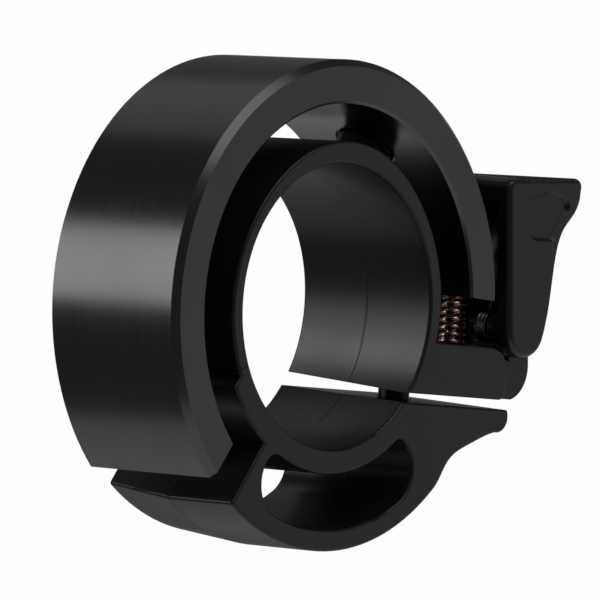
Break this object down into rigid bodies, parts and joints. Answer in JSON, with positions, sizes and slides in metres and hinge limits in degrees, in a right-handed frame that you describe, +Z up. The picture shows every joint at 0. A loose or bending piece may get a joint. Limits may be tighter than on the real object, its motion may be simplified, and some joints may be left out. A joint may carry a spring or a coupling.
{
  "type": "bicycle bell",
  "caption": "Ring-shaped bicycle bell: a C-shaped metal ring round a handlebar clamp, with a thumb lever that throws a spring-mounted hammer.",
  "frame": {"origin": "on the axis of the handlebar bore, at the middle of the bell ring's width", "axes": "+X towards the thumb lever, +Y along the handlebar, +Z up"},
  "size_m": [0.0495, 0.0135, 0.0381],
  "materials": {
    "ring_metal": "black anodised satin",
    "clamp_plastic": "moulded black nylon, satin",
    "lever_plastic": "moulded black nylon, satin",
    "rubber": "matt",
    "bright_steel": "zinc plated",
    "black_steel": "black oxide",
    "spring_steel": "drawn wire",
    "spring_bronze": "drawn bronze wire",
    "hammer_brass": "turned"
  },
  "bodies": {
    "clamp_body": {"clamp_band": "clamp_plastic", "bell_ring": "ring_metal", "ring_grommet": "rubber", "ring_washer": "black_steel", "ring_screw": "black_steel", "clamp_nut": "bright_steel", "pivot_pin": "bright_steel", "return_spring": "spring_steel"},
    "clamp_jaw": {"clamp_base": "clamp_plastic"},
    "bolt": {"clamp_bolt": "black_steel", "bolt_washer": "bright_steel"},
    "trigger": {"trigger_lever": "lever_plastic", "spring_stud": "bright_steel", "hammer_spring": "spring_bronze"},
    "hammer": {"hammer_head": "hammer_brass"}
  },
  "joints": [
    {"name": "trigger_pivot", "type": "hinge", "parent": "clamp_body", "child": "trigger", "pos_m": [0.0233, 0, -0.0032], "axis": [0, 1, 0], "range_deg": [0, 28], "stiffness_Nm_per_rad": 0.06, "springref_deg": -20.05, "deforming": ["return_spring"]},
    {"name": "hammer_flex", "type": "hinge", "parent": "trigger", "child": "hammer", "pos_m": [0.02125, 0, -0.0039], "axis": [0, 1, 0], "range_deg": [-8, 8], "stiffness_Nm_per_rad": 0.004, "deforming": ["hammer_spring"]},
    {"name": "clamp_flex", "type": "hinge", "parent": "clamp_body", "child": "clamp_jaw", "pos_m": [-0.01104, 0, -0.00402], "axis": [0, 1, 0], "range_deg": [-1.2, 1.6], "stiffness_Nm_per_rad": 1},
    {"name": "bolt_travel", "type": "slide", "parent": "clamp_body", "child": "bolt", "axis": [-0.1191, 0, -0.9929], "range_m": [-0.0006, 0.0008]}
  ],
  "couplings": [
    {"joint": "bolt_travel", "follows": "clamp_flex", "m_per_rad": 0.02594}
  ]
}
